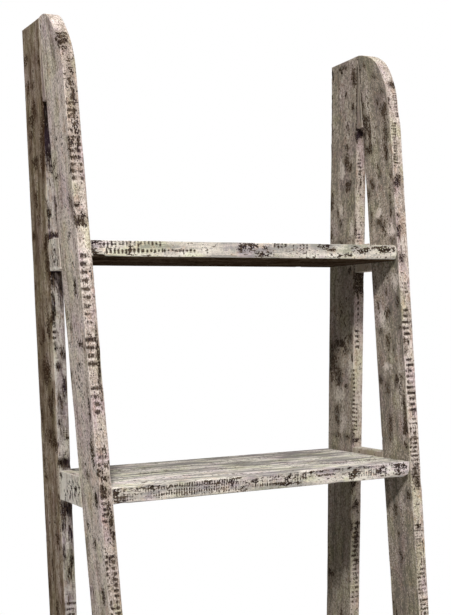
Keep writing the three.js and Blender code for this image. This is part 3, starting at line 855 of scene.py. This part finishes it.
class BookcaseColours(bpy.types.PropertyGroup):
    """Colours of the paint, the tints in it, the stain under it and the fasteners."""

    thin_wash: colour_property("Thin wash", "Whitewash where it is rubbed thin", (0.213, 0.186, 0.16))
    wash: colour_property("Wash", "Whitewash at its usual thickness", (0.46, 0.372, 0.318))
    thick_wash: colour_property("Thick wash", "Whitewash where it lies thick", (0.74, 0.67, 0.6))
    grey_wash: colour_property("Grey wash", "Whitewash rubbed thin on the shelves", (0.375, 0.357, 0.338))
    bright_wash: colour_property("Bright wash", "Thickest paint on shelves and rails", (0.92, 0.88, 0.8))
    rosy_wash: colour_property("Rosy wash", "Thick whitewash on the front posts", (0.885, 0.79, 0.735))
    # The left rear post's face is darker and browner than the other boards; these three colours set that
    brown_thin: colour_property("Thin brown wash", "Brown wash where it is rubbed thin", (0.12, 0.084, 0.056))
    brown_wash: colour_property("Brown wash", "Brown wash at its usual thickness", (0.262, 0.198, 0.139))
    brown_thick: colour_property("Thick brown wash", "Brown wash where it lies thick", (0.62, 0.53, 0.44))
    lavender_thin: colour_property("Thin lavender wash", "Cool wash, rubbed thin", (0.1, 0.082, 0.078))
    lavender_wash: colour_property("Lavender wash", "Cool wash at its usual thickness", (0.375, 0.33, 0.305))
    lavender_thick: colour_property("Thick lavender wash", "Cool wash, laid thick", (0.66, 0.62, 0.57))
    lavender_tint: colour_property("Lavender tint", "Cool tint of some of the paint", (0.945, 0.885, 0.985))
    olive_tint: colour_property("Olive tint", "Greenish tint of some of the paint", (0.94, 0.985, 0.85))
    rosy_tint: colour_property("Rosy tint", "Warm tint of some of the paint", (1.0, 0.915, 0.86))
    stain: colour_property("Stain", "Dark stain under the lavender wash", (0.014, 0.009, 0.006))
    stain_purple: colour_property("Purple stain", "Colder places in the stain", (0.028, 0.018, 0.024))
    inner_tint: colour_property("Inner tint", "Grey-olive cast of the inner faces", (0.83, 0.875, 0.82))
    walnut: colour_property("Walnut", "Stain under the whitewash", (0.034, 0.023, 0.016))
    umber: colour_property("Umber", "Stain on the brown board", (0.05, 0.028, 0.016))
    russet: colour_property("Russet", "Redder places in that stain", (0.13, 0.066, 0.036))
    rubbed_wood: colour_property("Rubbed wood", "Stained wood rubbed back", (0.11, 0.08, 0.058))
    # Part painted shade: the undersides' bare stain is kept this dark to stand for the shade under the
    # shelves
    under_stain: colour_property("Stain below", "Bare stain under the shelves", (0.028, 0.015, 0.008))
    dowel: colour_property("Dowel", "Bare beech", (0.58, 0.39, 0.18))
    screw: colour_property("Screw", "Zinc plating", (0.55, 0.55, 0.54))


class BookcaseStage(bpy.types.PropertyGroup):
    """The camera, the lamps and the floor."""

    eye: FloatVectorProperty(name="Camera place", description="Where the camera stands",
                             default=(-0.9006, -1.5639, 1.2260), subtype="XYZ", unit="LENGTH")
    heading: FloatProperty(name="Camera heading", description="Turn from straight back towards +X",
                           default=0.4606, subtype="ANGLE")
    pitch: FloatProperty(name="Camera pitch", description="Tilt of the view, below zero is down",
                         default=-0.2174, subtype="ANGLE")
    roll: FloatProperty(name="Camera roll", description="Turn of the picture",
                        default=-0.0191, subtype="ANGLE")
    lens: FloatProperty(name="Focal length", description="Lens for a 24 mm high sensor", default=42.52, min=1)
    shift: FloatVectorProperty(name="Lens shift", description="Shift of the picture, in picture heights",
                               default=(0.0614, 0.4195), size=2)
    key_power: power_property("Key lamp", "Power of the main soft lamp", 126)
    fill_power: power_property("Fill lamp", "Power of the weaker soft lamp", 14)
    top_power: power_property("Top lamp", "Power of the wide lamp overhead", 42)
    sky: FloatProperty(name="Room light", description="Strength of the light from all around", default=0.06)
    floor_size: FloatProperty(name="Floor", description="Side of the square floor", default=30, unit="LENGTH")
    floor_colour: colour_property("Floor colour", "Pale floor", (0.8, 0.79, 0.77))
    sky_colour: colour_property("Room light colour", "Colour of the room light", (1.0, 0.975, 0.91))


def worn_head(sign, places, forward):
    """The heads differ by a few millimetres, as hand-rounded ends do, and stay within the frame's height.

    forward is how far a point lies in front of the seam. The left head is fuller: half a sine wave from the
    seam forwards lifts it. The right one is lower, most at the seam, and half a sine wave up it draws the
    brow back.
    """
    y, z = places[:, 1], places[:, 2]
    if sign < 0:
        swell = np.sin(math.pi * np.clip(forward / HEAD_REACH, 0, 1))
        z = z + HEAD_LIFT * swell * smooth_step(HEIGHT - 60, HEIGHT - 10, z)
    else:
        z = z - smooth_step(HEIGHT - 90, HEIGHT, z) * HEAD_DROP * (1 - 0.4 * np.clip(forward / 55, 0, 1))
        bow = np.sin(math.pi * np.clip((z - HEIGHT + 130) / 140, 0, 1))
        y = y + BROW_BACK * np.clip(forward / FRONT_WIDTH, 0, 1) * bow
    return np.stack([places[:, 0], y, np.minimum(z, HEIGHT)], 1)


def back_face_y(height):
    """Y of the front post's back face: a straight line from its foot to the peak."""
    return FRONT_HIGH[1] + (FOOT_BACK_Y - FRONT_HIGH[1]) * (1 - height / HEIGHT)


def across_x(sign, thick):
    """X of a side frame's board: thickness zero is the outer face."""
    return sign * (OUTER_X - thick)


def rear_post_place(sign):
    """Length is height, with the top falling a little to the back; width runs back from the seam."""
    def place(p):
        fall = REAR_FALL[sign] * (p[:, 1] / (BACK_Y - SEAM_Y)) * (p[:, 0] / HEIGHT)
        straight = np.stack([across_x(sign, p[:, 2]), SEAM_Y + p[:, 1], p[:, 0] - fall], 1)
        return worn_head(sign, straight, 0)
    return place


def front_post_place(sign):
    """Length is height up to where the rounded head begins.

    From there lines join the front and back outlines: the front one turns round the head's arc, the back one
    goes on to the peak, and the last line is bent onto the rest of the arc.
    """
    centre_y = back_face_y(HEIGHT) + BROW_RADIUS * math.sin(BROW)
    centre_z = HEIGHT - BROW_RADIUS * math.cos(BROW)
    start, peak = math.pi - LEAN, math.pi / 2 + BROW
    head = centre_z + BROW_RADIUS * math.sin(start)

    def on_arc(angle):
        return centre_y + BROW_RADIUS * np.cos(angle), centre_z + BROW_RADIUS * np.sin(angle)

    def place(p):
        share = p[:, 1] / FRONT_RUN
        rise = np.clip((p[:, 0] - head) / (HEIGHT - head), 0, 1)
        low_front = back_face_y(np.minimum(p[:, 0], head)) - FRONT_RUN
        arc_y, arc_z = on_arc(start + (HEAD_SPLIT - start) * rise)
        front_y = np.where(rise > 0, arc_y, low_front)
        front_z = np.where(rise > 0, arc_z, p[:, 0])
        back_y, back_z = back_face_y(p[:, 0]), p[:, 0]
        y = front_y + share * (back_y - front_y)
        z = front_z + share * (back_z - front_z)
        top_y, top_z = on_arc(HEAD_SPLIT + (peak - HEAD_SPLIT) * share)
        end_y, end_z = on_arc(HEAD_SPLIT)
        chord_y = end_y + share * (back_face_y(HEIGHT) - end_y)
        chord_z = end_z + share * (HEIGHT - end_z)
        bend = rise ** 2
        y, z = y + bend * (top_y - chord_y), z + bend * (top_z - chord_z)
        return worn_head(sign, np.stack([across_x(sign, p[:, 2]), y, z], 1), back_face_y(HEIGHT) - y)
    return place


def between_posts(sign, z, share, thick):
    """Points at height z, a share of the way from the front post's back to the rear post, FIT off each."""
    front = back_face_y(z) + FIT / math.cos(LEAN)
    return np.stack([across_x(sign, thick), front + share * (SEAM_Y - FIT - front), z], 1)


def wedge_place(sign, low, width):
    """Length is height; width runs from the front post to the rear post."""
    return lambda p: between_posts(sign, low + p[:, 0], p[:, 1] / width, p[:, 2])


def rail_place(sign, low, length):
    """Length runs back from the front post to the rear post; width is height."""
    return lambda p: between_posts(sign, low + p[:, 1], p[:, 0] / length, p[:, 2])


def shelf_place(low, high):
    """Length runs to the right, width back from the front edge, and thickness down from the top."""
    return lambda p: np.stack([low[0] + p[:, 0], low[1] + p[:, 1], high[2] - p[:, 2]], 1)


def darker(colour, share):
    """A colour times a share."""
    return tuple(channel * share for channel in colour)


class BOOKCASE_OT_rear_posts(bpy.types.Operator):
    """Make the two plumb rear posts"""

    bl_idname = "bookcase.rear_posts"
    bl_label = "Rear posts"

    def execute(self, context):
        pale = painted_board("whitewash_rear", ("thin_wash", "wash", "thick_wash"), cover=0.58,
                             edge_paint_and_light=0.15, reverse_thin_and_shade=0.27, grit=0.2)
        # The left rear post's face gets darker, browner colours than the other boards
        brown = painted_board("brown_wash", ("brown_thin", "brown_wash", "brown_thick"),
                              bare=("umber", "russet"))
        cool = painted_board("lavender_wash", ("lavender_thin", "lavender_wash", "lavender_thick"),
                             cover=0.6, edge_paint_and_light=0.05, along=0.8, bare=("stain", "stain_purple"))
        finishes = {"left": ("brown_wash", brown, ("edge", cool)), "right": ("whitewash", pale, None)}
        for side, sign in SIDES.items():
            slot, material, second = finishes[side]
            board = Board(f"{side}_rear_post", (HEIGHT, BACK_Y - SEAM_Y, THICK), rear_post_place(sign), slot)
            make_board(board, material, SEEN_ABOVE, second)
        return {"FINISHED"}


class BOOKCASE_OT_front_posts(bpy.types.Operator):
    """Make the two leaning front posts with their rounded heads"""

    bl_idname = "bookcase.front_posts"
    bl_label = "Front posts"

    def execute(self, context):
        pale = painted_board("whitewash", ("thin_wash", "wash", "rosy_wash"), cover=0.93,
                             edge_paint_and_light=-0.25, reverse_thin_and_shade=0.7, grit=0.2)
        for side, sign in SIDES.items():
            board = Board(f"{side}_front_post", (HEIGHT, FRONT_RUN, THICK), front_post_place(sign),
                          "whitewash")
            make_board(board, pale, SEEN_ABOVE)
        return {"FINISHED"}


class BOOKCASE_OT_head_wedges(bpy.types.Operator):
    """Make the wedges that close the heads of the side frames"""

    bl_idname = "bookcase.head_wedges"
    bl_label = "Head wedges"

    def execute(self, context):
        pale = painted_board("whitewash_wedges", ("thin_wash", "wash", "thick_wash"), cover=0.55,
                             wear=0.05, reverse_thin_and_shade=0.3)
        for side, sign in SIDES.items():
            low, high = box_mm(f"{side}_top_wedge")
            low[2] += WEDGE_SHORT[sign]
            width = high[1] - low[1]
            board = Board(f"{side}_top_wedge", (high[2] - low[2], width, THICK),
                          wedge_place(sign, low[2], width), "whitewash", step=(3, 3, 3))
            make_board(board, pale)
        return {"FINISHED"}


class BOOKCASE_OT_side_rails(bpy.types.Operator):
    """Make the rails between the posts of each side frame"""

    bl_idname = "bookcase.side_rails"
    bl_label = "Side rails"

    def execute(self, context):
        pale = painted_board("pale_wash_rails", ("wash", "thick_wash", "bright_wash"), cover=0.3,
                             reverse_thin_and_shade=0.7)
        for side, sign in SIDES.items():
            for number in SHELVES:
                low, high = box_mm(f"{side}_rail_{number}")
                length = high[1] - low[1]
                board = Board(f"{side}_rail_{number}", (length, high[2] - low[2], THICK),
                              rail_place(sign, low[2], length), "pale_wash", step=(2.6, 3, 3), upright=True)
                make_board(board, pale)
        return {"FINISHED"}


class BOOKCASE_OT_shelves(bpy.types.Operator):
    """Make the four shelf boards"""

    bl_idname = "bookcase.shelves"
    bl_label = "Shelves"

    def execute(self, context):
        pale = painted_board("pale_wash", ("grey_wash", "thick_wash", "bright_wash"), cover=0.47,
                             edge_paint_and_light=-0.2, blotches=1.8)
        # Undersides are bare stain, darkened to paint the shade under each shelf as well
        below = painted_board("bare_stain", ("under_stain", "under_stain", "rubbed_wood"), cover=0.65)
        for number in SHELVES:
            low, high = box_mm(f"shelf_{number}")
            board = Board(f"shelf_{number}", high - low, shelf_place(low, high), "pale_wash",
                          step=(3.4, 5.5, 2.8))
            make_board(board, pale, second=("reverse", below))
        return {"FINISHED"}


class BOOKCASE_OT_fasteners(bpy.types.Operator):
    """Give the dowels and screws inside the joints their materials"""

    bl_idname = "bookcase.fasteners"
    bl_label = "Fasteners"

    def execute(self, context):
        colours = context.scene.bookcase_colours
        wood = Shade(bpy.data.materials.new("beech_dowel"))
        place = wood.add("ShaderNodeTexCoord", out="Object")
        rays = wood.figure(place, 0.8, 9, 3)
        pores = wood.figure(place, 0.3, 4, 2, 0.5, 5.0)
        tone = wood.mix(colours.dowel, darker(colours.dowel, 0.6), rays.between(-0.75, 1.0))
        tone = wood.mix(tone, darker(colours.dowel, 0.35), pores.between(0.6, 1.25))
        beech = wood.finish(tone, 0.62, rays, 0.0001)
        metal = Shade(bpy.data.materials.new("zinc_screw"))
        place = metal.add("ShaderNodeTexCoord", out="Object")
        spangle = metal.figure(place, 1.1, 1.1, 4)
        dull = metal.mix(colours.screw, darker(colours.screw, 0.55), spangle.between(-0.5, 1.0))
        zinc = metal.finish(dull, 0.42 + spangle * 0.05, spangle, 0.00002, metallic=1.0)
        for name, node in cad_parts.items():
            if name.endswith("screw") or "dowel" in name:
                node.data.materials.clear()
                node.data.materials.append(zinc if name.endswith("screw") else beech)
        return {"FINISHED"}


# Soft lamps, in metres: place, diameter, the name of the stage's power for it, and colour
LAMPS = {
    "key_lamp": ((-1.5, -2.4, 3.55), 0.5, "key_power", (1.0, 0.985, 0.96)),
    "top_lamp": ((0.2, -0.7, 4.3), 2.4, "top_power", (1.0, 1.0, 1.0)),
    "fill_lamp": ((2.6, -2.2, 1.6), 2.2, "fill_power", (1.0, 0.98, 0.93)),
}
LAMP_TARGET = Vector((0, 0, 1.0))

# The floor turns from its own colour to the background's white between these distances from its middle
FLOOR_FADE = (0.9, 2.2)


class BOOKCASE_OT_stage(bpy.types.Operator):
    """Set up the camera, the soft lamps, the pale floor and the white surroundings"""

    bl_idname = "bookcase.stage"
    bl_label = "Stage"

    def execute(self, context):
        stage = context.scene.bookcase_stage
        self.camera(context.scene, stage)
        self.lamps(context.scene, stage)
        self.floor(stage)
        self.surroundings(context.scene, stage)
        context.scene.view_settings.view_transform = "Standard"
        return {"FINISHED"}

    def camera(self, scene, stage):
        """The view direction from heading and pitch, its right-hand direction level, then the roll."""
        a, e, r = stage.heading, stage.pitch, stage.roll
        ahead = Vector((math.sin(a) * math.cos(e), math.cos(a) * math.cos(e), math.sin(e)))
        right = Vector((math.cos(a), -math.sin(a), 0))
        up = right.cross(ahead)
        turned_right = right * math.cos(r) + up * math.sin(r)
        turned_up = up * math.cos(r) - right * math.sin(r)
        axes = Matrix((turned_right, turned_up, -ahead)).transposed().to_4x4()
        lens = bpy.data.cameras.new("camera")
        lens.sensor_fit = "VERTICAL"
        lens.sensor_height = 24
        lens.sensor_width = 36
        lens.lens = stage.lens
        lens.shift_x, lens.shift_y = stage.shift
        lens.clip_end = 100
        camera = bpy.data.objects.new("camera", lens)
        camera.matrix_world = Matrix.Translation(stage.eye) @ axes
        scene.collection.objects.link(camera)
        scene.camera = camera

    def lamps(self, scene, stage):
        """Round lamps that face one point of the bookcase."""
        for name, (place, diameter, power, colour) in LAMPS.items():
            lamp = bpy.data.lights.new(name, "AREA")
            lamp.shape = "DISK"
            lamp.size = diameter
            lamp.energy = getattr(stage, power)
            lamp.color = colour
            holder = bpy.data.objects.new(name, lamp)
            holder.location = place
            holder.rotation_euler = (Vector(place) - LAMP_TARGET).to_track_quat("Z", "Y").to_euler()
            scene.collection.objects.link(holder)

    def floor(self, stage):
        """A level square, pale near the bookcase and white to the camera further out."""
        half = stage.floor_size / 2
        ticks = np.linspace(-half, half, 9)
        x, y = np.meshgrid(ticks, ticks, indexing="ij")
        points = np.stack([x.ravel(), y.ravel(), np.zeros(x.size)], 1)
        corner = np.arange(x.size).reshape(x.shape)
        ring = [corner[:-1, :-1], corner[1:, :-1], corner[1:, 1:], corner[:-1, 1:]]
        floor = write_mesh("floor", points, np.stack(ring, -1).reshape(-1, 4), {})
        shade = Shade(bpy.data.materials.new("pale_floor"))
        place = shade.add("ShaderNodeTexCoord", out="Object")
        far = shade.add("ShaderNodeVectorMath", {"operation": "LENGTH"}, {0: place}, out="Value")
        mottle = shade.add("ShaderNodeTexNoise", {}, {"Vector": place, "Scale": 3.0, "Detail": 3.0})
        colour = shade.mix(stage.floor_colour, darker(stage.floor_colour, 0.97), mottle)
        white = shade.add("ShaderNodeEmission", {}, {"Color": (1, 1, 1), "Strength": 1.0})
        matt = shade.add("ShaderNodeBsdfPrincipled", {}, {"Base Color": colour, "Roughness": 0.9})
        share = self.seen(shade) * far.between(*FLOOR_FADE)
        shade.output(shade.add("ShaderNodeMixShader", {}, {0: share, 1: matt, 2: white}))
        floor.data.materials.append(shade.owner)

    def surroundings(self, scene, stage):
        """White to the camera and in reflections, and an even grey light for everything else."""
        shade = Shade(bpy.data.worlds.new("surroundings"))
        light = shade.add("ShaderNodeBackground", {}, {"Color": stage.sky_colour, "Strength": stage.sky})
        white = shade.add("ShaderNodeBackground", {}, {"Color": (1, 1, 1), "Strength": 1.0})
        mixed = shade.add("ShaderNodeMixShader", {}, {0: self.seen(shade), 1: light, 2: white})
        shade.output(mixed, "ShaderNodeOutputWorld")
        scene.world = shade.owner

    def seen(self, shade):
        """One for a ray from the camera, a reflection or a ray that passed through something."""
        kinds = ("Camera", "Glossy", "Transmission")
        camera, glossy, passed = (shade.add("ShaderNodeLightPath", out=f"Is {kind} Ray") for kind in kinds)
        return camera.math("MAXIMUM", glossy).math("MAXIMUM", passed)


class BOOKCASE_PT_panel(bpy.types.Panel):
    """Lists the bookcase's sizes and colours and the buttons that make its pieces"""

    bl_idname = "BOOKCASE_PT_panel"
    bl_label = "Ladder bookcase"
    bl_space_type = "VIEW_3D"
    bl_region_type = "UI"
    bl_category = "Bookcase"

    def draw(self, context):
        for key in GROUPS:
            box = self.layout.box()
            for name in GROUPS[key].__annotations__:
                box.prop(getattr(context.scene, key), name)
        for operator in OPERATORS:
            self.layout.operator(operator.bl_idname)


GROUPS = {"bookcase_wear": BookcaseWear, "bookcase_colours": BookcaseColours, "bookcase_stage": BookcaseStage}
OPERATORS = (BOOKCASE_OT_stage, BOOKCASE_OT_rear_posts, BOOKCASE_OT_front_posts, BOOKCASE_OT_head_wedges,
             BOOKCASE_OT_side_rails, BOOKCASE_OT_shelves, BOOKCASE_OT_fasteners)
CLASSES = tuple(GROUPS.values()) + OPERATORS + (BOOKCASE_PT_panel,)


def register():
    for cls in CLASSES:
        bpy.utils.register_class(cls)
    for key, group in GROUPS.items():
        setattr(bpy.types.Scene, key, PointerProperty(type=group))


def unregister():
    for key in GROUPS:
        delattr(bpy.types.Scene, key)
    for cls in reversed(CLASSES):
        bpy.utils.unregister_class(cls)


def main():
    register()
    for operator in OPERATORS:
        group, name = operator.bl_idname.split(".")
        getattr(getattr(bpy.ops, group), name)()


if __name__ == "__main__":
    main()
